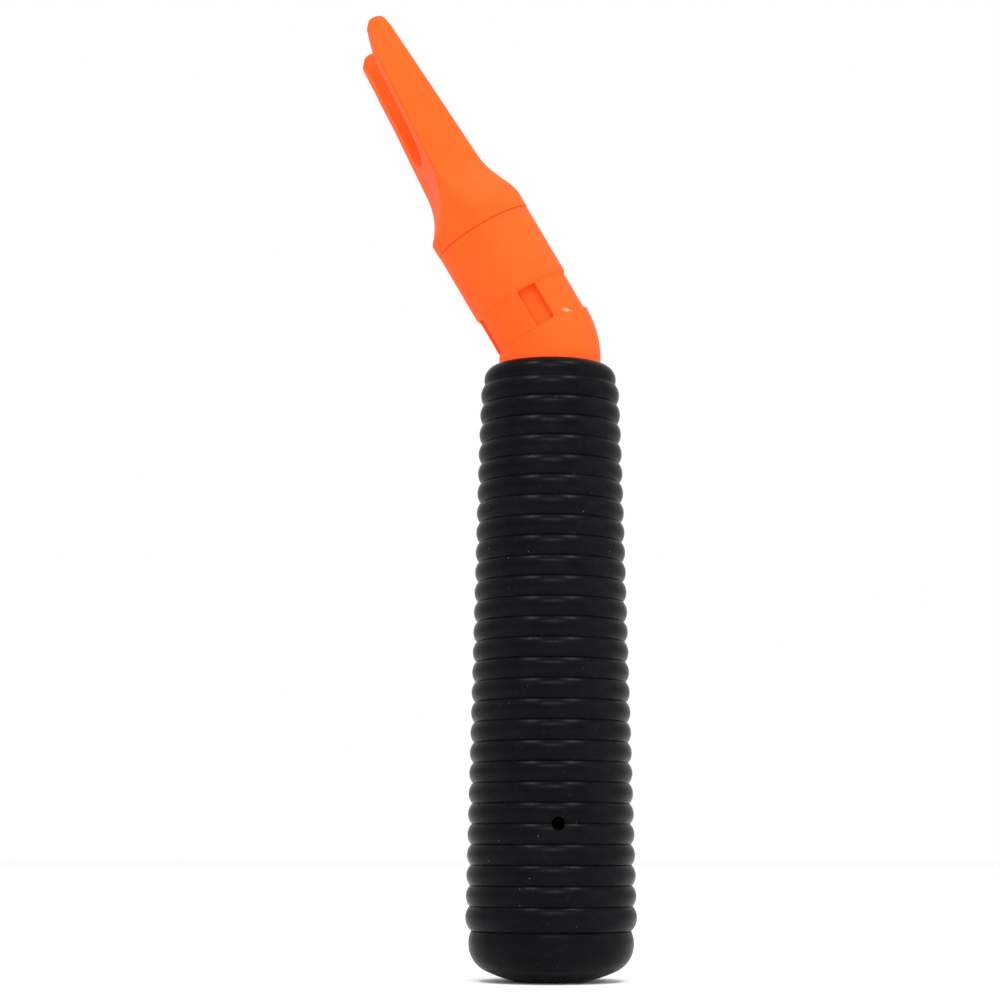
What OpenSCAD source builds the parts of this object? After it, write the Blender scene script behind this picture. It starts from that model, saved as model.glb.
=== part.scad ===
// Angled hand tool: ribbed rubber grip, bent elbow, swivel head and a long forked nose.
// Units are millimetres. Z runs up the grip from the flat of the butt. The head leans
// towards -X, and the bend lies in the XZ plane. The longer tine is on the -Y side.
// Head parts are drawn along their own axis: h = 0 is where the elbow's bend ends.

/* [Grip] */
// Height of the join between the butt cap and the grip
cap_h = 10.4; // [9:0.05:14]
// Height of the lowest ring groove in the grip
first_groove_z = 15.37; // [14:0.01:20]
// Distance from one ring groove to the next
bead_pitch = 4.235; // [3.8:0.005:4.6]
// Number of ring grooves
groove_count = 27; // [20:1:30]
// Largest radius of the grip, at its lowest bead
grip_r = 17.88; // [15:0.02:20]
// How fast the grip thins, in mm of radius for each mm of height
grip_taper = 0.0263; // [0.01:0.0001:0.05]
// Radius of the top bead, where the elbow comes out
mouth_bead_r = 14.1; // [12.5:0.05:16]
// Radius of the cross hole for a wrist cord
cord_hole_r = 1.4; // [1:0.05:2.5]
// Number of the groove that the cord hole is centred on, counted up from 0
cord_groove = 4; // [2:1:8]

/* [Core] */
// Outside radius of the core tube
tube_r = 11; // [9:0.05:12]
// Wall of the core tube
tube_wall = 2; // [1:0.05:3]
// Height of the core tube's top end
tube_top_z = 127.25; // [110:0.05:135]

/* [Elbow] */
// Angle between the head and the grip
bend_deg = 30.3; // [0:0.1:60]
// Outside radius of the elbow and the sleeve
elbow_r = 10.9; // [8:0.05:13]
// Radius of the bend, measured to the centre line
bend_r = 11.2; // [11.2:0.05:30]
// Height at which the bend starts
bend_z = 131.45; // [125:0.05:140]

/* [Swivel] */
// Radius of the spigot that the head turns on
spigot_r = 9; // [7:0.05:9.2]
// Gap all round between the spigot and the collar
running_gap = 0.05; // [0.01:0.01:0.1]
// Radius of the recessed band round the foot of the collar
band_r = 10.45; // [9.5:0.05:10.7]
// Height of the band above the elbow
band_h = 8.5; // [6:0.1:12]
// Height of the seam between the collar and the nose
seam_h = 25.35; // [20:0.05:32]
// Width of a window in the band
window_w = 4.35; // [2:0.05:6]
// Number of windows
window_count = 4; // [2:1:6]

/* [Nose] */
// Length of the longer tine's tip above the seam
nose_len = 51.15; // [35:0.05:70]
// Length of the shorter tine's tip above the seam
short_len = 48.2; // [30:0.05:65]
// Half the width of the nose across the two tines
nose_half_w = 9; // [6:0.05:10.5]
// Width of the slot between the tines
slot_w = 9.4; // [3:0.1:12]
// Height of the foot of the slot above the seam
slot_foot = 19.6; // [12:0.1:35]
// Radius of the flange that sits on the collar
flange_r = 11.05; // [10:0.05:12]
// Angle that the nose stands round from the line of the windows
nose_turn = 4.2; // [-45:0.1:45]

/* [Hidden] */
$fn = 96;

fit_gap = 0.02;                                  // gap kept between parts fixed together
bead_round = 3.28;                               // radius that each bead is rounded to
split_h = 0.35;                                  // foot of the collar, just above the elbow
window_foot_h = 0.6;
window_top_h = band_h + 0.45;
ring_top_z = first_groove_z + bead_pitch * (groove_count - 1);
cord_z = first_groove_z + bead_pitch * cord_groove;
tube_bore_r = tube_r - tube_wall;
tube_foot_z = cap_h + 2.85;
plug_top_z = 44;
plug_flange_r = 13.5;
disc_r = 4.1;
pin_r = 1.48;
low_pin_z = 40;
high_pin_z = 112;
screw_r = 2;                                     // thread radius of both M4 screws
tang_foot_z = 98;
bore_r = spigot_r + running_gap;
ring_h = 11;                                     // middle of the friction ring's groove
spigot_h = 12.6;
web_foot_h = 12.8;                               // underside of the collar's inner web
web_top_h = 14.4;
neck_r = 4.4;
neck_top_h = web_top_h + 1.82;
socket_r = 9;                                    // bore that takes the nose's plug
plug_foot_h = 17.7;
snap_h = 21.4;
nose_pts = 10;                                   // points in each quarter of a nose section
rim_h = 3.2;                                     // top of the flange's rim, above the seam
rim_r = flange_r - 0.05;
flare_top_h = 17;                                // where the flange's flare has run out
nose_end_h = 53;                                 // drawn on past the tips, then cut to them
flare_steps = 13;
plain_steps = 5;

// Side of the nose above the flare: height above the seam, then distance from the axis
back_line = [[0, 7.7], [30, 5.8], [nose_end_h, 3.9]];
front_line = [[0, 6], [31, 3.5], [nose_end_h, 2.3]];
// Radius of the back corners in the same way, and that of the tight front corners
round_line = [[0, 7], [30, 5.5], [nose_end_h, 3.2]];
crease_r = 0.5;
// How each of them falls away from the rim: roundness of the shoulder, then steepness
back_fall = [1.6, 3.3];
front_fall = [1, 2.6];
round_fall = [1, 1.9];
crease_fall = [1, 1.7];
stations = concat(
    [for (i = [0 : flare_steps - 1])
        rim_h + (flare_top_h - rim_h) * pow(i / flare_steps, 1.2)],
    [for (i = [0 : plain_steps])
        flare_top_h + (nose_end_h - flare_top_h) * i / plain_steps]);

// Front edge of the longer tine: it sweeps back over this length to reach the tip
sweep_len = 12.5;
sweep_r = 30;
sweep_u = -2.95;                                 // where the sweep starts, in front of the axis

// Butt cap: a flat, then a shallow dome, then a round side that meets the dome smoothly
cap_top_z = cap_h - 0.03;
flat_r = 7.2;
dome_r = 33;
cap_r = 17.25;
side_round = 6.2;
side_x = cap_r - side_round;
dome_z = sqrt(pow(dome_r, 2) - pow(flat_r, 2));
side_z = dome_z - sqrt(pow(dome_r - side_round, 2) - pow(side_x, 2));
join_deg = asin(side_x / (dome_r - side_round));
top_deg = asin((cap_top_z - side_z) / side_round);

module on_head() {
    translate([-bend_r + bend_r * cos(bend_deg), 0, bend_z + bend_r * sin(bend_deg)])
        rotate([0, -bend_deg, 0])
            children();
}

module ring(r_out, r_in, z0, z1) {
    translate([0, 0, z0])
        difference() {
            cylinder(r = r_out, h = z1 - z0);
            translate([0, 0, -1])
                cylinder(r = r_in, h = z1 - z0 + 2);
        }
}

// A bar along X or Y through the grip's axis, used for pins and cross holes
module cross_bar(r, z, len, turn) {
    translate([0, 0, z])
        rotate([0, 0, turn])
            rotate([90, 0, 0])
                cylinder(r = r, h = len, center = true);
}

// Radius of the grip's beads at a height: a straight taper that falls away near the top
function crest_r(z) = grip_r - grip_taper * (z - 13.25) - 0.15 * pow(max(0, z - 99.65) / 21, 2);

module grip_outline() {
    // solid rubber under the beads
    polygon([[9, cap_h], [grip_r - 1.25, cap_h], [crest_r(60) - 1.3, 60],
             [crest_r(103) - 1.3, 103], [crest_r(ring_top_z) - 1.2, ring_top_z],
             [11.5, ring_top_z + 3], [11, ring_top_z + 4.27], [9, ring_top_z + 4.27]]);
    // lowest bead, a little longer than the rest
    translate([grip_r + 0.02 - 3.7, 13.1])
        circle(r = 3.7);
    for (i = [0 : groove_count - 2]) {
        z = first_groove_z + bead_pitch * (i + 0.5);
        translate([crest_r(z) - bead_round, z])
            circle(r = bead_round);
    }
    // top bead, rounded in to the elbow
    translate([mouth_bead_r - 3, ring_top_z + 1.27])
        circle(r = 3);
}

module grip_sleeve() {
    color([0.125, 0.12, 0.13])
        difference() {
            rotate_extrude()
                intersection() {
                    grip_outline();
                    translate([elbow_r + fit_gap, cap_h])
                        square([12, ring_top_z + 4.24 - cap_h]);
                }
            translate([0, 0, cap_h - 1])
                cylinder(r = tube_r + fit_gap, h = tube_top_z + fit_gap - cap_h + 1);
            translate([0, 0, cap_h - 1])
                cylinder(r = plug_flange_r + fit_gap, h = tube_foot_z - cap_h + 1);
            cross_bar(cord_hole_r, cord_z, 60, 0);
        }
}

// Points along an arc, without its two ends
function inside_arc(cx, cz, r, a0, a1, n) = [
    for (i = [1 : n - 1])
        let (a = a0 + (a1 - a0) * i / n)
            [cx + r * cos(a), cz + r * sin(a)]];

module butt_cap() {
    color([0.12, 0.118, 0.127])
        difference() {
            rotate_extrude()
                polygon(concat(
                    [[0, 0], [flat_r, 0]],
                    inside_arc(0, dome_z, dome_r, asin(flat_r / dome_r) - 90,
                               join_deg - 90, 6),
                    [[dome_r * sin(join_deg), dome_z - dome_r * cos(join_deg)]],
                    inside_arc(side_x, side_z, side_round, join_deg - 90, top_deg, 14),
                    [[side_x + side_round * cos(top_deg), cap_top_z], [0, cap_top_z]]));
            translate([0, 0, -1])
                cylinder(r = disc_r + 0.02, h = 5);
            translate([0, 0, -1])
                cylinder(r = screw_r + 0.15, h = cap_h + 2);
        }
}

// Press-in cover that hides the cap's screw and finishes flush with the flat
module cap_disc() {
    color([0.13, 0.128, 0.136])
        cylinder(r = disc_r, h = 0.6);
}

module cap_washer() {
    color([0.72, 0.73, 0.74])
        ring(3.9, screw_r + 0.15, 3.18, 3.97);
}

// A screw standing on its head: the head's top face is at z = 0 and the shank rises
module socket_screw(head_r, head_h, shank_len, key_r) {
    difference() {
        union() {
            cylinder(r = head_r, h = head_h);
            cylinder(r = screw_r, h = head_h + shank_len - 0.6);
            translate([0, 0, head_h + shank_len - 0.6])
                cylinder(r1 = screw_r, r2 = screw_r - 0.5, h = 0.6);
        }
        translate([0, 0, -0.1])
            cylinder(r = key_r, h = 1.5, $fn = 6);
    }
}

module cap_screw() {
    color([0.6, 0.61, 0.63])
        translate([0, 0, 0.85])
            socket_screw(3.4, 2.3, 21, 1.45);
}

module end_plug() {
    color([0.86, 0.85, 0.8])
        difference() {
            union() {
                translate([0, 0, cap_h])
                    cylinder(r = plug_flange_r, h = tube_foot_z - fit_gap - cap_h);
                translate([0, 0, cap_h])
                    cylinder(r = tube_bore_r - fit_gap, h = plug_top_z - cap_h);
            }
            translate([0, 0, cap_h - 1])
                cylinder(r = screw_r + 0.02, h = 16);
            cross_bar(cord_hole_r, cord_z, 60, 0);
            cross_bar(pin_r + 0.02, low_pin_z, 60, 90);
        }
}

module core_tube() {
    color([0.78, 0.79, 0.8])
        difference() {
            ring(tube_r, tube_bore_r, tube_foot_z, tube_top_z - fit_gap);
            cross_bar(cord_hole_r, cord_z, 60, 0);
            cross_bar(pin_r + 0.02, low_pin_z, 60, 90);
            cross_bar(pin_r + 0.02, high_pin_z, 60, 90);
        }
}

module cross_pins() {
    color([0.65, 0.66, 0.68]) {
        cross_bar(pin_r, low_pin_z, 2 * tube_r - 0.6, 90);
        cross_bar(pin_r, high_pin_z, 2 * tube_r - 0.6, 90);
    }
}

module elbow() {
    color([1, 0.43, 0.16])
        difference() {
            union() {
                // tang inside the core tube
                translate([0, 0, tang_foot_z])
                    cylinder(r = tube_bore_r - fit_gap, h = tube_top_z - tang_foot_z + 1);
                translate([0, 0, tube_top_z])
                    cylinder(r = elbow_r, h = bend_z - tube_top_z);
                // the bend itself
                translate([-bend_r, 0, bend_z])
                    rotate([90, 0, 0])
                        rotate_extrude(angle = bend_deg)
                            translate([bend_r, 0])
                                circle(r = elbow_r);
                on_head() {
                    cylinder(r1 = elbow_r, r2 = band_r, h = split_h - 0.05);
                    translate([0, 0, -3])
                        cylinder(r = spigot_r, h = spigot_h + 3);
                    cylinder(r = neck_r, h = neck_top_h);
                }
            }
            // cored out from below, as moulded
            translate([0, 0, tang_foot_z - 1])
                cylinder(r = 5.5, h = 28);
            cross_bar(pin_r + 0.02, high_pin_z, 60, 90);
            on_head() {
                ring(spigot_r + 1, spigot_r - 1.4, ring_h - 0.8, ring_h + 0.8);
                translate([0, 0, neck_top_h - 9])
                    cylinder(r = 2.95, h = 12);
            }
        }
}

module thread_insert() {
    color([0.78, 0.62, 0.3])
        on_head()
            difference() {
                union() {
                    translate([0, 0, neck_top_h - 8.6])
                        cylinder(r = 2.75, h = 8.56);
                    for (k = [0 : 3])
                        translate([0, 0, neck_top_h - 8.2 + 2.1 * k])
                            cylinder(r = 2.93, h = 1.5);
                }
                translate([0, 0, neck_top_h - 10])
                    cylinder(r = screw_r + 0.02, h = 14);
            }
}

module spigot_o_ring() {
    color([0.1, 0.1, 0.11])
        on_head()
            translate([0, 0, ring_h])
                rotate_extrude()
                    translate([spigot_r - 0.68, 0])
                        circle(r = 0.7);
}

module swivel_collar() {
    color([1, 0.43, 0.16])
        on_head()
            difference() {
                rotate_extrude()
                    polygon([[bore_r, split_h], [band_r, split_h], [band_r, band_h],
                             [band_r + 0.03, band_h + 0.28], [band_r + 0.13, band_h + 0.56],
                             [elbow_r - 0.11, band_h + 0.86], [elbow_r, band_h + 1.2],
                             [elbow_r, seam_h - 0.15], [elbow_r - 0.15, seam_h],
                             [socket_r, seam_h], [socket_r, snap_h + 0.55],
                             [socket_r + 0.45, snap_h + 0.55],
                             [socket_r + 0.45, snap_h - 0.55], [socket_r, snap_h - 0.55],
                             [socket_r, web_top_h], [neck_r + 0.07, web_top_h],
                             [neck_r + 0.07, web_foot_h], [bore_r, web_foot_h]]);
                // windows through the band, nearly the full height of it
                for (k = [0 : window_count - 1])
                    rotate([0, 0, 360 / window_count * k])
                        translate([5.5, -window_w / 2, window_foot_h])
                            cube([6, window_w, window_top_h - window_foot_h]);
                // slot for the rib that keeps the nose from turning
                rotate([0, 0, nose_turn])
                    translate([socket_r - 0.5, -1.05, web_top_h + 2])
                        cube([1.1, 2.1, seam_h - web_top_h]);
            }
}

module thrust_ring() {
    color([0.9, 0.89, 0.85])
        on_head()
            ring(8.7, neck_r + 0.35, web_top_h + fit_gap, web_top_h + 0.95);
}

module disc_spring() {
    color([0.5, 0.51, 0.54])
        on_head()
            rotate_extrude()
                polygon([[neck_r + 0.3, web_top_h + 1.36], [neck_r + 0.3, web_top_h + 1.76],
                         [7.3, web_top_h + 1.38], [7.3, web_top_h + 0.98]]);
}

module swivel_washer() {
    color([0.7, 0.71, 0.73])
        on_head()
            ring(7.2, screw_r + 0.15, neck_top_h + fit_gap, neck_top_h + 1);
}

module swivel_screw() {
    color([0.6, 0.61, 0.63])
        on_head()
            translate([0, 0, neck_top_h + 3.4])
                rotate([180, 0, 0])
                    socket_screw(3.5, 2.38, 9, 1.45);
}

// One section of the nose: a box with wide round back corners and tight front ones
function corner(cx, cy, r, a0) = [
    for (i = [0 : nose_pts - 1])
        let (a = a0 + 90 * (i + 0.5) / nose_pts)
            [cx + r * cos(a), cy + r * sin(a)]];

// Share of the rim that is left at a height: 1 at the rim, 0 where the flare ends
function flare(s, fall) =
    pow(1 - pow(min(1, (s - rim_h) / (flare_top_h - rim_h)), fall[0]), fall[1]);

function flared(s, plain, fall) = plain + (rim_r - plain) * flare(s, fall);

function section(s) =
    let (b = flared(s, nose_half_w, back_fall),
         ub = flared(s, lookup(s, back_line), back_fall),
         uf = flared(s, lookup(s, front_line), front_fall),
         rb = min(flared(s, lookup(s, round_line), round_fall), b),
         rf = min(flared(s, crease_r, crease_fall), b, ub + uf - rb))
    concat(corner(ub - rb, b - rb, rb, 0), corner(rf - uf, b - rf, rf, 90),
           corner(rf - uf, rf - b, rf, 180), corner(ub - rb, rb - b, rb, 270));

module nose_skin() {
    n = 4 * nose_pts;
    m = len(stations);
    points = [for (s = stations) for (p = section(s)) [p[0], p[1], s]];
    lower = [for (k = [0 : m - 2]) for (i = [0 : n - 1])
        [k * n + i, (k + 1) * n + (i + 1) % n, k * n + (i + 1) % n]];
    upper = [for (k = [0 : m - 2]) for (i = [0 : n - 1])
        [k * n + i, (k + 1) * n + i, (k + 1) * n + (i + 1) % n]];
    foot = [[for (i = [0 : n - 1]) i]];
    top = [[for (i = [n - 1 : -1 : 0]) (m - 1) * n + i]];
    polyhedron(points = points, faces = concat(lower, upper, foot, top));
}

// Side view of the longer tine: its front edge sweeps back to a round tip
module long_tine_side() {
    polygon(concat(
        [[-13, 0], [13, 0], [13, 43], [3.8, nose_len - 2], [1.8, nose_len], [0.55, nose_len],
         [-0.95, nose_len - 1.5]],
        [for (d = [2.5 : 1 : sweep_len])
            [sweep_u + pow(sweep_len - d, 2) / (2 * sweep_r), nose_len - d]],
        [[-3.4, nose_len - 17], [-13, nose_len - 17.1]]));
    translate([1.8, nose_len - 2])
        circle(r = 2);
    translate([0.55, nose_len - 1.5])
        circle(r = 1.5);
}

// Side view of the shorter tine: a square end with round corners
module short_tine_side() {
    polygon([[-13, 0], [13, 0], [13, 43], [4.7, short_len - 1.9], [2.8, short_len],
             [-0.7, short_len], [-2.6, short_len - 1.9], [-2.75, short_len - 5],
             [-2.95, short_len - 9], [-13, short_len - 9.1]]);
    translate([-0.7, short_len - 1.9])
        circle(r = 1.9);
    translate([2.8, short_len - 1.9])
        circle(r = 1.9);
}

module nose_fork() {
    color([1, 0.43, 0.16])
        on_head()
            translate([0, 0, seam_h])
                rotate([0, 0, nose_turn])
                    difference() {
                        union() {
                            // flange on the collar
                            translate([0, 0, 0.05])
                                cylinder(r1 = flange_r - 0.15, r2 = flange_r - 0.08, h = 0.15);
                            translate([0, 0, 0.2])
                                cylinder(r1 = flange_r - 0.08, r2 = flange_r, h = 3.05);
                            // plug in the collar's socket, with its rib
                            translate([0, 0, plug_foot_h - seam_h])
                                cylinder(r = socket_r - fit_gap, h = seam_h - plug_foot_h + 0.5);
                            translate([socket_r - 0.5, -1, plug_foot_h - seam_h])
                                cube([1, 2, seam_h - plug_foot_h + 0.5]);
                            intersection() {
                                nose_skin();
                                union() {
                                    rotate([90, 0, 0])
                                        linear_extrude(height = 14)
                                            long_tine_side();
                                    translate([0, 14, 0])
                                        rotate([90, 0, 0])
                                            linear_extrude(height = 14)
                                                short_tine_side();
                                }
                            }
                        }
                        // slot between the tines, round at its foot
                        translate([0, 0, slot_foot + slot_w / 2])
                            rotate([0, 90, 0])
                                cylinder(r = slot_w / 2, h = 40, center = true);
                        translate([-20, -slot_w / 2, slot_foot + slot_w / 2])
                            cube([40, slot_w, 60]);
                        // cored out from below, and grooved for the snap ring
                        translate([0, 0, plug_foot_h - seam_h - 1])
                            cylinder(r = 6.4, h = 11);
                        ring(socket_r + 1, socket_r - 0.55, snap_h - 0.55 - seam_h,
                             snap_h + 0.55 - seam_h);
                    }
}

module nose_snap_ring() {
    color([0.62, 0.63, 0.66])
        on_head()
            translate([0, 0, snap_h])
                rotate([0, 0, 25])
                    rotate_extrude(angle = 310)
                        translate([socket_r - 0.02, 0])
                            circle(r = 0.45);
}

grip_sleeve();
butt_cap();
cap_disc();
cap_screw();
cap_washer();
end_plug();
core_tube();
cross_pins();
elbow();
thread_insert();
swivel_screw();
swivel_washer();
disc_spring();
spigot_o_ring();
swivel_collar();
thrust_ring();
nose_fork();
nose_snap_ring();
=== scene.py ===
import math

import bpy
from mathutils import Matrix, Vector


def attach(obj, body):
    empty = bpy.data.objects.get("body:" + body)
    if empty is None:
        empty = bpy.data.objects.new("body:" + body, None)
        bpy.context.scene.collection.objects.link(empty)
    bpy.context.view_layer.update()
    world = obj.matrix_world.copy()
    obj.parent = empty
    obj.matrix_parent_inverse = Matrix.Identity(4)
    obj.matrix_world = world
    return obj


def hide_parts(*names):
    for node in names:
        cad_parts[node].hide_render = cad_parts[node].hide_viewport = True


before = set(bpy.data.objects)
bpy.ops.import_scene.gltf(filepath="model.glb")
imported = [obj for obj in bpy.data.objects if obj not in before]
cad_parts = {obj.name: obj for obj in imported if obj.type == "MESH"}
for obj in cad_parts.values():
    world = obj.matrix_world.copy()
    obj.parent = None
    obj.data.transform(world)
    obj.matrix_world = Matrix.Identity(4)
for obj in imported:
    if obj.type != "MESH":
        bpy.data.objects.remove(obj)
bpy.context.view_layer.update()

MM = 0.001
SPIN = 160                      # steps round a turned piece
FINE_SPIN = 192                 # the same for the grip and the butt cap

# ---------------------------------------------------------------- sizes, in mm
BEND = math.radians(30.3)
BEND_R, BEND_Z = 11.2, 131.45
FIT_GAP = 0.02                  # gap kept between parts fixed together
ELBOW_R, BAND_R, SPIGOT_R = 10.9, 10.45, 9.0
SPLIT_H, BAND_H, STEP_H, SEAM_H = 0.35, 8.5, 1.2, 25.35
BORE_R, NECK_R, SOCKET_R = SPIGOT_R + 0.05, 4.4, 9.0
WEB_FOOT_H, WEB_TOP_H = 12.8, 14.4
SNAP_LO_H, SNAP_HI_H, SNAP_R = 20.85, 21.95, 9.45
TUBE_R, TUBE_BORE_R, TUBE_TOP_Z = 11.0, 9.0, 127.25
PLUG_FLANGE_R, SHOULDER_H = 13.5, 2.87
CAP_H, GROOVE_Z, PITCH, GROOVES = 10.4, 15.37, 4.235, 27
TOP_GROOVE = GROOVE_Z + PITCH * (GROOVES - 1)
CORD_R, CORD_Z = 1.4, GROOVE_Z + 4 * PITCH
GRIP_R, GRIP_TAPER, TAPER_Z = 17.88, 0.0263, 13.25
FALL_Z, FALL_SPAN, FALL = 99.65, 21, 0.15        # the grip thins faster from FALL_Z up
BEAD_ROUND = 3.28
LOW_BEAD_R, LOW_BEAD_Z, LOW_BEAD_ROUND = 17.9, 13.1, 3.7
MOUTH_R, MOUTH_RISE, MOUTH_ROUND, MOUTH_H = 14.1, 1.27, 3.0, 4.24
NOSE_LEN, SHORT_LEN = 51.15, 48.2
SLOT_W, SLOT_FOOT = 9.4, 19.6
FLANGE_R, NOSE_W = 11.05, 9.0
NOSE_TURN = math.radians(4.2)

HEAD_E = Vector((math.cos(BEND), 0, math.sin(BEND)))
HEAD_D = Vector((-math.sin(BEND), 0, math.cos(BEND)))
HEAD_O = Vector((-BEND_R + BEND_R * math.cos(BEND), 0, BEND_Z + BEND_R * math.sin(BEND)))


def head_matrix():
    """Head axes to the row frame: x is across the bend, y along Y, z along the head."""
    y = Vector((0, 1, 0))
    m = Matrix((HEAD_E, y, HEAD_D)).transposed().to_4x4()
    m.translation = HEAD_O * MM
    return m


def new_object(name, verts, faces, matrix=None, smooth=True):
    mesh = bpy.data.meshes.new(name)
    mesh.from_pydata([[c * MM for c in v] for v in verts], [], faces)
    mesh.validate()
    if matrix is not None:
        mesh.transform(matrix)
    for p in mesh.polygons:
        p.use_smooth = smooth
    o = bpy.data.objects.new(name, mesh)
    bpy.context.scene.collection.objects.link(o)
    return o


def baked(o):
    """Gives o the mesh that its modifiers make, and drops them."""
    dg = bpy.context.evaluated_depsgraph_get()
    mesh = bpy.data.meshes.new_from_object(o.evaluated_get(dg), depsgraph=dg)
    o.modifiers.clear()
    old = o.data
    o.data = mesh
    bpy.data.meshes.remove(old)
    return o


def drop(o):
    mesh = o.data
    bpy.data.objects.remove(o)
    bpy.data.meshes.remove(mesh)


def smooth_by_angle(o, degrees):
    """Smooth shading with the sharp edges marked."""
    o.data.set_sharp_from_angle(angle=math.radians(degrees))


def turned(name, profile, matrix=None, steps=SPIN):
    """A closed profile of (radius, height) turned about z. It doesn't touch the axis."""
    verts, faces = [], []
    n = len(profile)
    for k in range(steps):
        a = 2 * math.pi * k / steps
        verts += [(r * math.cos(a), r * math.sin(a), z) for r, z in profile]
    for k in range(steps):
        b, c = k * n, ((k + 1) % steps) * n
        for i in range(n):
            j = (i + 1) % n
            faces.append((b + i, c + i, c + j, b + j))
    return new_object(name, verts, faces, matrix)


def lookup(table, x):
    """The straight line through a short table, flat beyond its ends."""
    if x <= table[0][0]:
        return table[0][1]
    for (x0, y0), (x1, y1) in zip(table, table[1:]):
        if x <= x1:
            return y0 + (y1 - y0) * (x - x0) / (x1 - x0)
    return table[-1][1]


def arc(cx, cy, r, a0, a1, steps=12):
    return [(cx + r * math.cos(math.radians(a0 + (a1 - a0) * k / steps)),
             cy + r * math.sin(math.radians(a0 + (a1 - a0) * k / steps))) for k in range(steps + 1)]


# ---------------------------------------------------------------- materials
def material(name):
    m = bpy.data.materials.new(name)
    m.use_nodes = True
    nt = m.node_tree
    nt.nodes.clear()
    out = nt.nodes.new("ShaderNodeOutputMaterial")
    bsdf = nt.nodes.new("ShaderNodeBsdfPrincipled")
    nt.links.new(bsdf.outputs["BSDF"], out.inputs["Surface"])
    coord = nt.nodes.new("ShaderNodeTexCoord")
    return m, nt, bsdf, coord.outputs["Object"]


def noise(nt, vec, scale, detail=3.0, rough=0.55):
    n = nt.nodes.new("ShaderNodeTexNoise")
    n.inputs["Scale"].default_value = scale
    n.inputs["Detail"].default_value = detail
    n.inputs["Roughness"].default_value = rough
    nt.links.new(vec, n.inputs["Vector"])
    return n.outputs["Fac"]


def span(nt, value, a, b, lo, hi, smooth=True):
    n = nt.nodes.new("ShaderNodeMapRange")
    n.interpolation_type = "SMOOTHSTEP" if smooth else "LINEAR"
    n.inputs["From Min"].default_value = a
    n.inputs["From Max"].default_value = b
    n.inputs["To Min"].default_value = lo
    n.inputs["To Max"].default_value = hi
    nt.links.new(value, n.inputs["Value"])
    return n.outputs["Result"]


def maths(nt, op, a, b=None):
    n = nt.nodes.new("ShaderNodeMath")
    n.operation = op
    for i, v in enumerate((a, b)):
        if v is None:
            continue
        if isinstance(v, (int, float)):
            n.inputs[i].default_value = v
        else:
            nt.links.new(v, n.inputs[i])
    return n.outputs[0]


def mix(nt, fac, a, b):
    n = nt.nodes.new("ShaderNodeMix")
    n.data_type = "RGBA"
    nt.links.new(fac, n.inputs["Factor"])
    for key, v in (("A", a), ("B", b)):
        s = [i for i in n.inputs if i.name == key and i.type == "RGBA"][0]
        if isinstance(v, tuple):
            s.default_value = (*v, 1)
        else:
            nt.links.new(v, s)
    return [o for o in n.outputs if o.type == "RGBA"][0]


def bump(nt, bsdf, height, strength, distance):
    b = nt.nodes.new("ShaderNodeBump")
    b.inputs["Strength"].default_value = strength
    b.inputs["Distance"].default_value = distance
    nt.links.new(height, b.inputs["Height"])
    nt.links.new(b.outputs["Normal"], bsdf.inputs["Normal"])


def spot(nt, vec, centre, size, ragged):
    """A soft blob round a point, 1 inside and 0 outside, broken up by ragged."""
    sub = nt.nodes.new("ShaderNodeVectorMath")
    sub.operation = "SUBTRACT"
    sub.inputs[1].default_value = centre
    nt.links.new(vec, sub.inputs[0])
    div = nt.nodes.new("ShaderNodeVectorMath")
    div.operation = "DIVIDE"
    div.inputs[1].default_value = size
    nt.links.new(sub.outputs[0], div.inputs[0])
    ln = nt.nodes.new("ShaderNodeVectorMath")
    ln.operation = "LENGTH"
    nt.links.new(div.outputs[0], ln.inputs[0])
    m = span(nt, ln.outputs["Value"], 1.0, 0.55, 0.0, 1.0)
    return maths(nt, "MULTIPLY", m, ragged)


def head_point(u, y, h):
    return tuple((HEAD_O + HEAD_E * u + Vector((0, y, 0)) + HEAD_D * h) * MM)


ORANGE = (1.0, 0.078, 0.0045)
ORANGE_B = (1.0, 0.085, 0.0055)
ORANGE_PALE = (1.0, 0.125, 0.02)
# pale marks: scuffs, and a painted highlight on the elbow-band step edge
SCUFF_AND_HIGHLIGHT_COLOUR = (1.0, 0.38, 0.22)
DIRT_COLOUR = (0.35, 0.05, 0.015)
RUBBER, RUBBER_B = (0.0023, 0.0020, 0.0028), (0.0033, 0.0030, 0.0040)
DUST_COLOUR = (0.1, 0.1, 0.11)
# centre, half extent along each axis, and strength of each mark on the orange pieces
SCUFFS_AND_HIGHLIGHT = [
    # first mark: a painted highlight on the soft step edge between elbow and band; the other two:
    # scuffs on the tines
    (head_point(5.3, -9.0, 0.62), (0.0014, 0.0016, 0.0005), 0.85),
    (head_point(3.5, -8.8, 62.5), (0.0005, 0.0005, 0.0004), 0.5),
    (head_point(-2.6, 4.6, 61.2), (0.0003, 0.0012, 0.0004), 0.7),
]
DIRT = [
    (head_point(-9.0, -5.0, 24.7), (0.0012, 0.0012, 0.00018), 0.8),
    (head_point(-6.4, -8.1, 24.5), (0.0010, 0.0012, 0.0002), 0.8),
    (head_point(-3.6, -9.7, 24.2), (0.0009, 0.0012, 0.0003), 0.6),
    (head_point(5.5, -8.8, 1.5), (0.0004, 0.0008, 0.0002), 0.4),
]


def marks(nt, vec, spots, ragged):
    """One mask for a list of marks: the strongest of them at each point."""
    mask = None
    for centre, size, weight in spots:
        s = maths(nt, "MULTIPLY", spot(nt, vec, centre, size, ragged), weight)
        mask = s if mask is None else maths(nt, "MAXIMUM", mask, s)
    return mask


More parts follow.
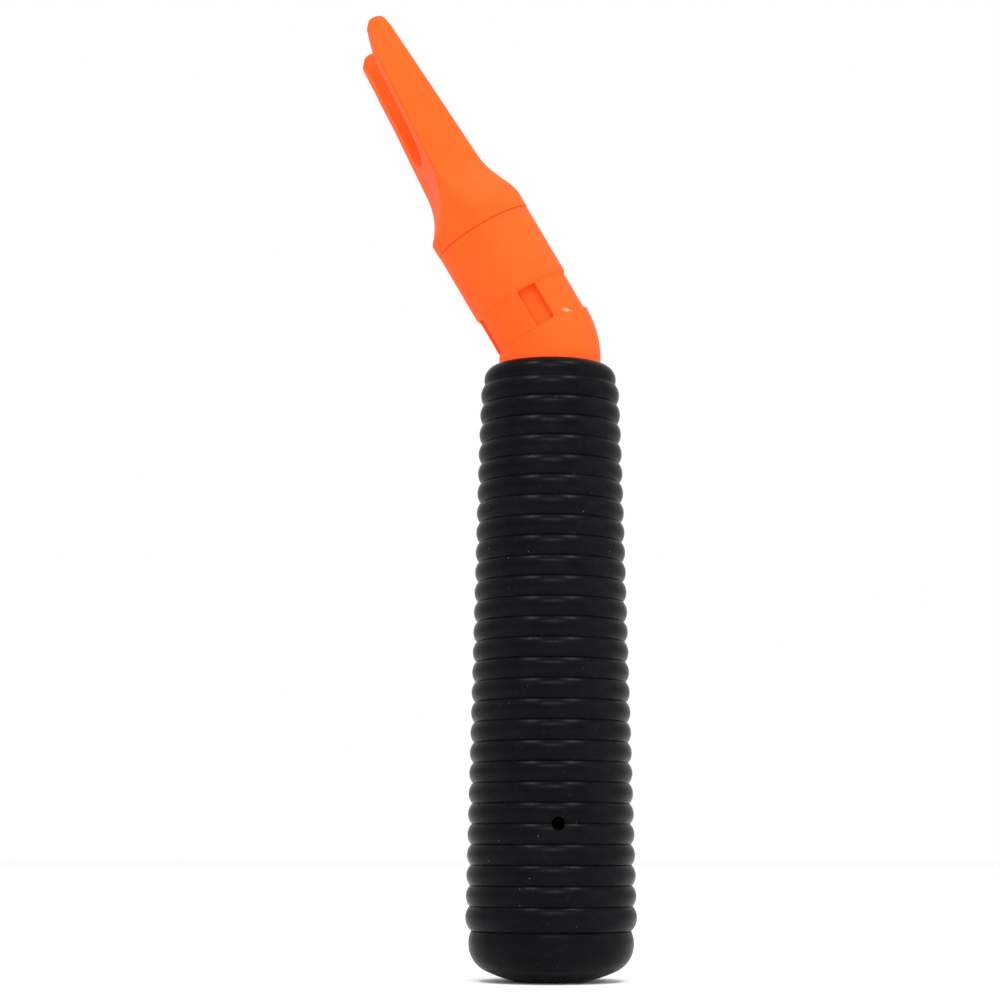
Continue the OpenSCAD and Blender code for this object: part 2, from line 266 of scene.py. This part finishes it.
def orange_material():
    m, nt, bsdf, vec = material("orange_moulding")
    broad = noise(nt, vec, 90, 2)
    fine = noise(nt, vec, 1500, 3, 0.6)
    grain = noise(nt, vec, 5200, 2, 0.6)
    base = mix(nt, span(nt, broad, 0.3, 0.7, 0, 1), ORANGE, ORANGE_B)
    specks = noise(nt, vec, 2600, 1, 0.5)
    base = mix(nt, span(nt, specks, 0.66, 0.76, 0, 0.35), base, ORANGE_PALE)
    ragged = span(nt, noise(nt, vec, 1400, 3, 0.7), 0.42, 0.56, 0, 1)
    # pale scuffs on the tines, and a painted highlight on the elbow-band step edge
    base = mix(nt, marks(nt, vec, SCUFFS_AND_HIGHLIGHT, ragged), base, SCUFF_AND_HIGHLIGHT_COLOUR)
    ragged_b = span(nt, noise(nt, vec, 2300, 2, 0.6), 0.5, 0.6, 0, 1)
    base = mix(nt, marks(nt, vec, DIRT, ragged_b), base, DIRT_COLOUR)
    nt.links.new(base, bsdf.inputs["Base Color"])
    nt.links.new(span(nt, fine, 0.3, 0.7, 0.5, 0.64), bsdf.inputs["Roughness"])
    bsdf.inputs["Specular IOR Level"].default_value = 0.12
    bump(nt, bsdf, maths(nt, "ADD", grain, maths(nt, "MULTIPLY", fine, 0.8)), 0.22, 0.00006)
    return m


def rubber_material():
    m, nt, bsdf, vec = material("black_rubber")
    broad = noise(nt, vec, 140, 3)
    fine = noise(nt, vec, 2600, 3, 0.6)
    base = mix(nt, span(nt, broad, 0.3, 0.7, 0, 1), RUBBER, RUBBER_B)
    cells = nt.nodes.new("ShaderNodeTexVoronoi")
    cells.inputs["Scale"].default_value = 520
    nt.links.new(vec, cells.inputs["Vector"])
    dust = span(nt, cells.outputs["Distance"], 0.075, 0.04, 0, 1)
    pick = nt.nodes.new("ShaderNodeSeparateColor")
    nt.links.new(cells.outputs["Color"], pick.inputs["Color"])
    dust = maths(nt, "MULTIPLY", dust, span(nt, pick.outputs[0], 0.72, 0.9, 0, 1))
    haze = span(nt, noise(nt, vec, 900, 4, 0.7), 0.56, 0.75, 0, 0.05)
    base = mix(nt, maths(nt, "MAXIMUM", dust, haze), base, DUST_COLOUR)
    nt.links.new(base, bsdf.inputs["Base Color"])
    nt.links.new(span(nt, fine, 0.3, 0.7, 0.25, 0.35), bsdf.inputs["Roughness"])
    bsdf.inputs["Specular IOR Level"].default_value = 0.04
    bump(nt, bsdf, fine, 0.12, 0.00004)
    return m


def plain_material(name, color_a, color_b, rough, metal, scale, gloss=0.5):
    m, nt, bsdf, vec = material(name)
    base = mix(nt, span(nt, noise(nt, vec, scale, 3), 0.3, 0.7, 0, 1), color_a, color_b)
    nt.links.new(base, bsdf.inputs["Base Color"])
    fine = noise(nt, vec, scale * 12, 2)
    nt.links.new(span(nt, fine, 0.3, 0.7, rough - 0.05, rough + 0.07), bsdf.inputs["Roughness"])
    bsdf.inputs["Metallic"].default_value = metal
    bsdf.inputs["Specular IOR Level"].default_value = gloss
    bump(nt, bsdf, fine, 0.1, 0.00003)
    return m


orange = orange_material()
rubber = rubber_material()
steel = plain_material("zinc_steel", (0.55, 0.56, 0.58), (0.66, 0.67, 0.69), 0.32, 1.0, 300)
spring = plain_material("spring_steel", (0.3, 0.31, 0.33), (0.4, 0.41, 0.44), 0.36, 1.0, 300)
dark_tube = plain_material("black_tube", (0.003, 0.003, 0.0033), (0.005, 0.005, 0.0055),
                           0.8, 0.0, 200, 0.0)
brass = plain_material("brass", (0.7, 0.5, 0.2), (0.8, 0.6, 0.28), 0.3, 1.0, 300)
nylon = plain_material("nylon", (0.78, 0.76, 0.7), (0.84, 0.82, 0.77), 0.45, 0.0, 250)
black_nylon = plain_material("black_nylon", (0.003, 0.003, 0.0035), (0.005, 0.005, 0.0055),
                             0.8, 0.0, 250, 0.0)

NODE_MATERIALS = {
    "grip_sleeve": rubber, "butt_cap": rubber, "cap_disc": rubber, "cap_screw": steel,
    "cap_washer": steel, "end_plug": black_nylon, "core_tube": dark_tube, "cross_pins": steel,
    "elbow": orange, "thread_insert": brass, "swivel_screw": steel, "swivel_washer": steel,
    "disc_spring": spring, "spigot_o_ring": rubber, "swivel_collar": orange,
    "thrust_ring": nylon, "nose_fork": orange, "nose_snap_ring": spring,
}
for node_name, mat in NODE_MATERIALS.items():
    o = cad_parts[node_name]
    o.data.materials.clear()
    o.data.materials.append(mat)


def dress(o, mat, body, node):
    o.data.materials.clear()
    o.data.materials.append(mat)
    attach(o, body)
    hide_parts(node)
    return o


# ---------------------------------------------------------------- grip sleeve
def crest(z):
    """Radius of the beads at a height."""
    return GRIP_R - GRIP_TAPER * (z - TAPER_Z) - FALL * (max(0, z - FALL_Z) / FALL_SPAN) ** 2


def grip_profile():
    tube_hole, elbow_hole = TUBE_R + FIT_GAP, ELBOW_R + FIT_GAP
    flange_hole = PLUG_FLANGE_R + FIT_GAP
    shoulder = CAP_H + SHOULDER_H
    pts = [(tube_hole, shoulder), (flange_hole, shoulder), (flange_hole, CAP_H)]
    # each bead is an arc: centre radius, centre height, its own radius, foot, top
    arcs = [(LOW_BEAD_R - LOW_BEAD_ROUND, LOW_BEAD_Z, LOW_BEAD_ROUND, CAP_H, GROOVE_Z)]
    for i in range(GROOVES - 1):
        lo = GROOVE_Z + PITCH * i
        mid = lo + PITCH / 2
        arcs.append((crest(mid) - BEAD_ROUND, mid, BEAD_ROUND, lo, lo + PITCH))
    arcs.append((MOUTH_R - MOUTH_ROUND, TOP_GROOVE + MOUTH_RISE, MOUTH_ROUND,
                 TOP_GROOVE, TOP_GROOVE + MOUTH_H))
    steps = 18
    for k, (c, z0, r, lo, hi) in enumerate(arcs):
        first = lo + (0.02 if k == 0 else 0.05)
        last = hi - (0.0 if k == len(arcs) - 1 else 0.05)
        for i in range(steps + 1):
            # points crowd together towards the grooves
            z = first + (last - first) * (0.5 - 0.5 * math.cos(math.pi * i / steps))
            pts.append((c + math.sqrt(max(r * r - (z - z0) ** 2, 0)), z))
        if k < len(arcs) - 1:
            pts.append((c + math.sqrt(max(r * r - (hi - z0) ** 2, 0)) - 0.01, hi))
    pts[-1] = (elbow_hole + 0.28, pts[-1][1])
    tube_end = TUBE_TOP_Z + FIT_GAP
    pts += [(elbow_hole + 0.06, TOP_GROOVE + MOUTH_H - 0.04),
            (elbow_hole, TOP_GROOVE + MOUTH_H - 0.14),
            (elbow_hole, tube_end), (tube_hole, tube_end)]
    return pts


def boolean(o, other, how):
    m = o.modifiers.new(how, "BOOLEAN")
    m.operation = how
    m.solver = "EXACT"
    m.object = other
    baked(o)
    drop(other)


grip = turned("grip_rubber", grip_profile(), steps=FINE_SPIN)
cutter = turned("cord_cut", [(0.001, -60), (CORD_R, -60), (CORD_R, 60), (0.001, 60)], steps=48)
across = Matrix.Rotation(math.pi / 2, 4, "X")
cutter.data.transform(Matrix.Translation((0, 0, CORD_Z * MM)) @ across)
boolean(grip, cutter, "DIFFERENCE")
smooth_by_angle(grip, 38)
dress(grip, rubber, "handle", "grip_sleeve")
grip.data.materials.append(dark_tube)      # for the faces of the cord hole
for face in grip.data.polygons:
    if math.hypot(face.center.x, face.center.z - CORD_Z * MM) < (CORD_R + 0.01) * MM:
        face.material_index = 1

# ---------------------------------------------------------------- butt cap
FLAT_R, DOME_R, CAP_R, SIDE_ROUND = 7.2, 33.0, 17.25, 6.2
TOP_EDGE = 0.3                  # rounding of the cap's top edge
DISC_HOLE, SCREW_HOLE = 4.12, 2.15


def cap_line():
    """A flat, a shallow dome, and a round side that meets the dome smoothly."""
    side_x = CAP_R - SIDE_ROUND
    dome_z = math.sqrt(DOME_R ** 2 - FLAT_R ** 2)
    side_z = dome_z - math.sqrt((DOME_R - SIDE_ROUND) ** 2 - side_x ** 2)
    start = math.degrees(math.asin(FLAT_R / DOME_R)) - 90
    join = math.degrees(math.asin(side_x / (DOME_R - SIDE_ROUND))) - 90
    top_z = CAP_H - 0.03
    edge_z = top_z - TOP_EDGE
    top = math.degrees(math.asin((edge_z - side_z) / SIDE_ROUND))
    edge_x = side_x + SIDE_ROUND * math.cos(math.radians(top)) - TOP_EDGE
    return (arc(0, dome_z, DOME_R, start, join, 16) + arc(side_x, side_z, SIDE_ROUND, join, top, 40)[1:]
            + arc(edge_x, edge_z, TOP_EDGE, 0, 90, 6)[1:])


cap = turned("butt_cap_rubber",
             [(SCREW_HOLE, 4.0), (DISC_HOLE, 4.0), (DISC_HOLE, 0.08), (DISC_HOLE + 0.08, 0.0)]
             + cap_line() + [(SCREW_HOLE, CAP_H - 0.03)], steps=FINE_SPIN)
smooth_by_angle(cap, 38)
dress(cap, rubber, "handle", "butt_cap")


# ---------------------------------------------------------------- elbow
CORE_R, CORE_TOP_Z = 5.5, 125
TANG_R, TANG_FOOT_Z = TUBE_BORE_R - FIT_GAP, 98
O_RING_R, O_RING_LO_H, O_RING_HI_H = 7.6, 10.2, 11.8
SPIGOT_TOP_H, NECK_TOP_H = 12.6, 16.22
INSERT_R, INSERT_DEPTH = 2.95, 9
BEND_STEPS = 28


def elbow_rings():
    """(centre, direction across the bend, radius) of each ring, from the core's end to the
    hole for the thread insert."""
    rings = []

    def low(z, r):
        rings.append((Vector((0, 0, z)), Vector((1, 0, 0)), r))

    def high(h, r):
        rings.append((HEAD_O + HEAD_D * h, HEAD_E, r))

    for z, r in ((CORE_TOP_Z - 0.01, 0.01), (CORE_TOP_Z, CORE_R), (TANG_FOOT_Z, CORE_R),
                 (TANG_FOOT_Z, TANG_R - 0.08), (TANG_FOOT_Z + 0.1, TANG_R), (TUBE_TOP_Z, TANG_R),
                 (TUBE_TOP_Z, ELBOW_R - 0.1), (TUBE_TOP_Z + 0.1, ELBOW_R), (129, ELBOW_R),
                 (130.5, ELBOW_R)):
        low(z, r)
    for k in range(BEND_STEPS + 1):
        a = BEND * k / BEND_STEPS
        c = Vector((-BEND_R, 0, BEND_Z))
        e = Vector((math.cos(a), 0, math.sin(a)))
        rings.append((c + e * BEND_R, e, ELBOW_R))
    # small cone with a soft rim, then the foot of the spigot
    for h, r in ((0.02, 10.895), (0.06, 10.87), (0.12, 10.81), (0.2, 10.71), (0.27, 10.62),
                 (0.33, 10.53), (0.34, 10.44), (0.34, 9.1), (0.35, 9.02), (0.4, SPIGOT_R)):
        high(h, r)
    # spigot with its groove, neck, and the hole in the neck
    for h, r in ((4, SPIGOT_R), (8, SPIGOT_R), (O_RING_LO_H, SPIGOT_R), (O_RING_LO_H, O_RING_R),
                 (O_RING_HI_H, O_RING_R), (O_RING_HI_H, SPIGOT_R),
                 (SPIGOT_TOP_H - 0.1, SPIGOT_R), (SPIGOT_TOP_H, SPIGOT_R - 0.1),
                 (SPIGOT_TOP_H, NECK_R + 0.05), (SPIGOT_TOP_H + 0.05, NECK_R),
                 (NECK_TOP_H - 0.12, NECK_R), (NECK_TOP_H, NECK_R - 0.1), (NECK_TOP_H, INSERT_R),
                 (NECK_TOP_H - INSERT_DEPTH, INSERT_R), (NECK_TOP_H - INSERT_DEPTH, 0.01)):
        high(h, r)
    return rings


def skin(name, rings, steps=SPIN):
    verts, faces = [], []
    y = Vector((0, 1, 0))
    for c, e, r in rings:
        for k in range(steps):
            a = 2 * math.pi * k / steps
            verts.append(tuple(c + e * (r * math.cos(a)) + y * (r * math.sin(a))))
    for i in range(len(rings) - 1):
        for k in range(steps):
            j = (k + 1) % steps
            faces.append((i * steps + k, i * steps + j, (i + 1) * steps + j, (i + 1) * steps + k))
    return new_object(name, verts, faces)


elbow = skin("elbow_moulding", elbow_rings())
smooth_by_angle(elbow, 40)
dress(elbow, orange, "handle", "elbow")

# ---------------------------------------------------------------- swivel collar
WIN_W, WIN_LO, WIN_HI, WIN_ROUND = 4.35, 0.62, 8.95, 0.3
FOOT_SOFT, WIN_SOFT, SEAM_SOFT = 0.03, 0.12, 0.16        # rounding of the collar's edges


def rounding(past, soft):
    """How far a rounded edge has dropped, past the place where its rounding starts."""
    return soft - math.sqrt(max(soft ** 2 - past ** 2, 0))


def collar_radius(h):
    """Outside of the collar: band, soft step, sleeve."""
    t = min(max((h - BAND_H) / STEP_H, 0), 1)
    r = BAND_R + (ELBOW_R - BAND_R) * t * t * (3 - 2 * t)
    if h < SPLIT_H + FOOT_SOFT:
        r -= rounding(SPLIT_H + FOOT_SOFT - h, FOOT_SOFT)
    if h > SEAM_H - SEAM_SOFT:
        r -= rounding(h - SEAM_H + SEAM_SOFT, SEAM_SOFT)
    return r


def window_gap(theta, h):
    """Distance outside the nearest window's edge, in mm; negative inside it."""
    q = math.pi / 2
    t = abs((theta + q / 2) % q - q / 2) * BAND_R
    x = t - (WIN_W / 2 - WIN_ROUND)
    y = abs(h - (WIN_LO + WIN_HI) / 2) - ((WIN_HI - WIN_LO) / 2 - WIN_ROUND)
    return math.hypot(max(x, 0), max(y, 0)) + min(max(x, y), 0) - WIN_ROUND


def collar_mesh():
    edge = [-0.3, -0.16, -0.08, -0.03, 0.0, 0.03, 0.07, 0.12, 0.2, 0.32, 0.6]
    quarter = sorted({round(v, 5) for v in
                      [0.0, 0.5, 1.0, 1.4] + [WIN_W / 2 + e for e in edge]
                      + [3.2 + 0.65 * k for k in range(8)]})
    half_arc = BAND_R * math.pi / 4
    quarter = [v for v in quarter if v < half_arc - 0.2]
    side = [-v for v in reversed(quarter) if v > 0] + quarter
    thetas = []
    for w in range(4):
        thetas += [w * math.pi / 2 + v / BAND_R for v in side] + [w * math.pi / 2 + math.pi / 4]
    hs = sorted({round(v, 5) for v in
                 [SPLIT_H, SPLIT_H + 0.03, SPLIT_H + 0.07, SPLIT_H + 0.12, SPLIT_H + 0.2]
                 + [WIN_LO + e for e in edge if WIN_LO + e > SPLIT_H + 0.22]
                 + [1.6, 2.5, 3.5, 4.5, 5.5, 6.5, 7.5, 8.3]
                 + [WIN_HI - e for e in edge]
                 + [BAND_H + STEP_H * k / 10 for k in range(11)]
                 + [12, 14, 16, 18, 20, 22, 24, 24.8]
                 + [SEAM_H - d for d in (SEAM_SOFT, 0.13, 0.09, 0.05, 0.02, 0)]})
    n = len(thetas)
    verts, faces = [], []

    def wall(radius, heights, flip, skip):
        base = len(verts)
        for h in heights:
            for t in thetas:
                r = radius(t, h)
                verts.append((r * math.cos(t), r * math.sin(t), h))
        for i in range(len(heights) - 1):
            for k in range(n):
                j = (k + 1) % n
                lo, hi = base + i * n, base + (i + 1) * n
                quad = (lo + k, lo + j, hi + j, hi + k)
                tm = thetas[k] + ((thetas[j] - thetas[k]) % (2 * math.pi)) / 2
                hm = (heights[i] + heights[i + 1]) / 2
                if skip(tm, hm):
                    continue
                faces.append(quad[::-1] if flip else quad)
        return base

    def outside(t, h):
        g = window_gap(t, h)
        r = collar_radius(h)
        if g <= -0.02:
            return BORE_R
        if g < WIN_SOFT:
            r -= rounding(WIN_SOFT - max(g, 0), WIN_SOFT)
        return r

    a = wall(outside, hs, False, lambda t, h: window_gap(t, h) < -0.04)
    low = [h for h in hs if h <= 9.9] + [WEB_FOOT_H]
    b = wall(lambda t, h: BORE_R, low, True, lambda t, h: window_gap(t, h) < -0.02)
    for k in range(n):
        j = (k + 1) % n
        faces.append((a + k, b + k, b + j, a + j))
    neck_hole = NECK_R + 0.07
    inner = [(BORE_R, WEB_FOOT_H), (neck_hole, WEB_FOOT_H), (neck_hole, WEB_TOP_H),
             (SOCKET_R, WEB_TOP_H), (SOCKET_R, SNAP_LO_H), (SNAP_R, SNAP_LO_H),
             (SNAP_R, SNAP_HI_H), (SOCKET_R, SNAP_HI_H), (SOCKET_R, SEAM_H)]
    c = len(verts)
    for r, h in inner:
        for t in thetas:
            verts.append((r * math.cos(t), r * math.sin(t), h))
    for i in range(len(inner) - 1):
        for k in range(n):
            j = (k + 1) % n
            faces.append((c + i * n + j, c + i * n + k, c + (i + 1) * n + k, c + (i + 1) * n + j))
    top_out, top_in = a + (len(hs) - 1) * n, c + (len(inner) - 1) * n
    for k in range(n):
        j = (k + 1) % n
        faces.append((top_out + k, top_out + j, top_in + j, top_in + k))
    return new_object("collar_moulding", verts, faces, head_matrix())


collar = collar_mesh()
smooth_by_angle(collar, 35)
dress(collar, orange, "head", "swivel_collar")

# ---------------------------------------------------------------- nose
RIM_H, FLARE_TOP_H, NOSE_END_H = 3.2, 17.0, 53.0
RIM_R = FLANGE_R - 0.05
CREASE_R = 0.5
# height above the seam, then distance from the head's axis or radius of the back corners
BACK = [(0, 7.7), (30, 5.8), (NOSE_END_H, 3.9)]
FRONT = [(0, 6.0), (31, 3.5), (NOSE_END_H, 2.3)]
ROUND = [(0, 7.0), (30, 5.5), (NOSE_END_H, 3.2)]
# roundness of the shoulder at the rim, then steepness
BACK_FALL, FRONT_FALL, ROUND_FALL, CREASE_FALL = (1.6, 3.3), (1, 2.6), (1, 1.9), (1, 1.7)
# the longer tine's front edge sweeps back over this length to reach the tip
SWEEP_LEN, SWEEP_R, SWEEP_U = 12.5, 30.0, -2.95
QUARTER = 24                    # points in each quarter of a nose section
VOXEL, RELAX = 0.16, 14         # softening of the nose's edges


def flared(s, plain, fall):
    """The rim's size at the foot of the flare, plain where it ends."""
    t = min(1.0, (s - RIM_H) / (FLARE_TOP_H - RIM_H))
    return plain + (RIM_R - plain) * (1 - t ** fall[0]) ** fall[1]


def nose_section(s):
    b = flared(s, NOSE_W, BACK_FALL)
    ub = flared(s, lookup(BACK, s), BACK_FALL)
    uf = flared(s, lookup(FRONT, s), FRONT_FALL)
    rb = min(flared(s, lookup(ROUND, s), ROUND_FALL), b)
    rf = min(flared(s, CREASE_R, CREASE_FALL), b, ub + uf - rb)
    out = []
    for cx, cy, r, a0 in ((ub - rb, b - rb, rb, 0), (rf - uf, b - rf, rf, 90),
                          (rf - uf, rf - b, rf, 180), (ub - rb, rb - b, rb, 270)):
        for i in range(QUARTER):
            a = math.radians(a0 + 90 * (i + 0.5) / QUARTER)
            out.append((cx + r * math.cos(a), cy + r * math.sin(a)))
    return out


def closed_loft(name, rings):
    """rings is a list of equal lists of 3-D points, capped flat at both ends."""
    n = len(rings[0])
    verts = [p for ring in rings for p in ring]
    faces = [tuple(range(n))[::-1]]
    for i in range(len(rings) - 1):
        for k in range(n):
            j = (k + 1) % n
            faces.append((i * n + k, i * n + j, (i + 1) * n + j, (i + 1) * n + k))
    faces.append(tuple(range((len(rings) - 1) * n, len(rings) * n)))
    return new_object(name, verts, faces)


def prism(name, outline, y0, y1):
    """An outline in the side view (across, along), given depth along Y."""
    rings = [[(u, y, s) for u, s in outline] for y in (y0, y1)]
    return closed_loft(name, rings)


def nose_mesh():
    rings = []
    n = 4 * QUARTER
    # height above the seam, then how far the flange's rim is drawn in
    for s, inset in ((0.07, 0.16), (0.12, 0.1), (0.22, 0.05), (0.5, 0.04), (1.5, 0.02), (2.6, 0)):
        r = FLANGE_R - inset
        turns = [2 * math.pi * (k + 0.5) / n for k in range(n)]
        rings.append([(r * math.cos(a), r * math.sin(a), s) for a in turns])
    stations = [RIM_H + 0.25 * k for k in range(60)] + [18.4 + 1.0 * k for k in range(35)]
    rings += [[(x, y, s) for x, y in nose_section(s)] for s in stations]
    nose = closed_loft("nose_moulding", rings)
    n, m = NOSE_LEN, SHORT_LEN
    long_side = ([(13, -1), (13, 43)]
                 + arc(1.8, n - 2, 2, 0, 90, 12) + arc(0.55, n - 1.5, 1.5, 90, 180, 10)
                 + [(SWEEP_U + (SWEEP_LEN - d) ** 2 / (2 * SWEEP_R), n - d)
                    for d in (2.0 + 0.5 * k for k in range(22))]
                 + [(-3.4, n - 17), (-13, n - 17.1), (-13, -1)])
    short_side = ([(13, -1), (13, 43)] + arc(2.8, m - 1.9, 1.9, 0, 90, 8)
                  + arc(-0.7, m - 1.9, 1.9, 90, 180, 8)
                  + [(-2.75, m - 5), (-2.95, m - 9), (-13, m - 9.1), (-13, -1)])
    keep = prism("keep_long", long_side, -14, 0.0)
    other = prism("keep_short", short_side, 0.0, 14)
    boolean(keep, other, "UNION")
    boolean(nose, keep, "INTERSECT")
    w, s0 = SLOT_W / 2, SLOT_FOOT + SLOT_W / 2
    outline = arc(0, s0, w, 180, 360, 32) + [(w, 70), (-w, 70)]
    slot = closed_loft("slot", [[(x, y, s) for y, s in outline] for x in (-30, 30)])
    boolean(nose, slot, "DIFFERENCE")
    soft = nose.modifiers.new("soft", "REMESH")
    soft.mode = "VOXEL"
    soft.voxel_size = VOXEL * MM
    soft.use_smooth_shade = True
    relax = nose.modifiers.new("relax", "SMOOTH")
    relax.factor = 0.5
    relax.iterations = RELAX
    baked(nose)
    on_seam = Matrix.Translation((0, 0, SEAM_H * MM))
    nose.data.transform(head_matrix() @ on_seam @ Matrix.Rotation(NOSE_TURN, 4, "Z"))
    return nose


nose = nose_mesh()
dress(nose, orange, "head", "nose_fork")

# ---------------------------------------------------------------- floor, light, camera
floor_mesh = bpy.data.meshes.new("floor")
floor_mesh.from_pydata([(-6, -6, 0), (6, -6, 0), (6, 6, 0), (-6, 6, 0)], [], [(0, 1, 2, 3)])
floor = bpy.data.objects.new("floor", floor_mesh)
bpy.context.scene.collection.objects.link(floor)
white, nt, bsdf, vec = material("pale_floor")
bsdf.inputs["Base Color"].default_value = (0.97, 0.97, 0.97, 1)
bsdf.inputs["Roughness"].default_value = 0.9
bsdf.inputs["Specular IOR Level"].default_value = 0.0
floor_mesh.materials.append(white)

world = bpy.data.worlds.new("studio")
world.use_nodes = True
bg = world.node_tree.nodes["Background"]
bg.inputs["Color"].default_value = (1.0, 1.0, 1.0, 1)
bg.inputs["Strength"].default_value = 1.0
bpy.context.scene.world = world


def softbox(name, place, aim, size_x, size_y, radiance, shape="RECTANGLE"):
    light = bpy.data.lights.new(name, "AREA")
    light.shape = shape
    light.size = size_x
    light.size_y = size_y
    area = size_x * size_y * (math.pi / 4 if shape in ("DISK", "ELLIPSE") else 1)
    light.energy = radiance * area * math.pi
    o = bpy.data.objects.new(name, light)
    o.location = place
    o.rotation_mode = "QUATERNION"
    o.rotation_quaternion = (Vector(aim) - Vector(place)).to_track_quat("-Z", "Y")
    bpy.context.scene.collection.objects.link(o)


def around(azimuth, elevation, distance):
    a, e = math.radians(azimuth), math.radians(elevation)
    return (distance * math.cos(e) * math.sin(a), -distance * math.cos(e) * math.cos(a),
            0.08 + distance * math.sin(e))


softbox("key_left", around(-50, 61, 1.2), (0, 0, 0.08), 0.14, 0.14, 95.0, "DISK")
softbox("key_right", around(45, 61, 1.2), (0, 0, 0.08), 0.14, 0.14, 95.0, "DISK")
softbox("key_front", around(-2, 39, 1.2), (0, 0, 0.08), 0.6, 0.1, 34.0, "ELLIPSE")
softbox("right_side", (1.15, -0.45, 0.45), (0, 0, 0.12), 1.0, 1.0, 1.0)

cam_data = bpy.data.cameras.new("camera")
cam_data.lens = 86.69
cam_data.sensor_width = 36
cam_data.dof.use_dof = False
cam = bpy.data.objects.new("camera", cam_data)
swing, yaw, pitch, roll = (math.radians(v) for v in (-5.2, -1.208, 8.255, -0.061))
cam.location = Matrix.Rotation(swing, 4, "Z") @ Vector((0, -0.5084, 0.02712))
cam.rotation_mode = "QUATERNION"
turn = Matrix.Rotation(swing - yaw, 3, "Z")
tilt = Matrix.Rotation(math.pi / 2 + pitch, 3, "X")
cam.rotation_quaternion = (turn @ tilt @ Matrix.Rotation(-roll, 3, "Z")).to_quaternion()
bpy.context.scene.collection.objects.link(cam)
bpy.context.scene.camera = cam
bpy.context.scene.view_settings.view_transform = "Standard"
bpy.context.scene.view_settings.look = "None"
